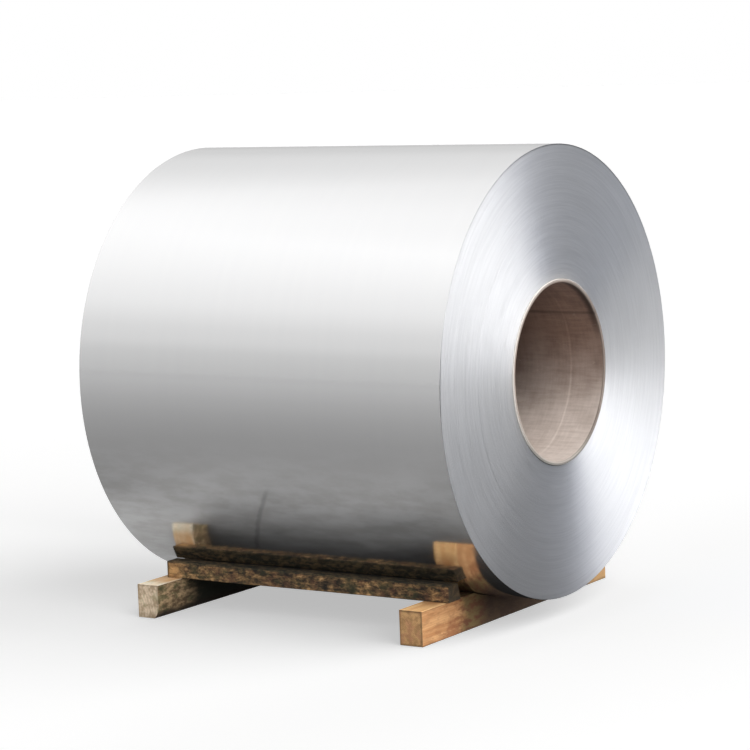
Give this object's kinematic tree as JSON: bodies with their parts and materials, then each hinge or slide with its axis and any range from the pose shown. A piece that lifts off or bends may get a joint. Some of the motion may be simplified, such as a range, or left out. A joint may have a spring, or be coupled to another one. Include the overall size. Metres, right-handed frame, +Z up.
{
  "type": "nickel alloy strip coil on timber bearers",
  "caption": "Bright nickel alloy strip wound into a wide coil on a paper core, lying on its side across timber bearers with battens that chock it.",
  "frame": {"origin": "on the floor, below the middle of the coil", "axes": "+X along the coil's bore towards the end with the deeper overhang, +Y across it towards the back, +Z up"},
  "size_m": [1.227, 1.2898, 1.3531],
  "materials": {
    "strip": "bright rolled nickel alloy, smooth and faintly streaked along the strip",
    "core_paper": "matt wound paper",
    "weathered_timber": "rough sawn, weathered grey",
    "fresh_timber": "rough sawn, fresh and partly stained",
    "dark_timber": "rough sawn, dark with damp and mould"
  },
  "bodies": {
    "root": {"coil": "strip", "core_tube": "core_paper", "bearer_left": "weathered_timber", "bearer_right": "fresh_timber", "batten_front": "dark_timber", "batten_rear": "dark_timber"}
  },
  "joints": []
}
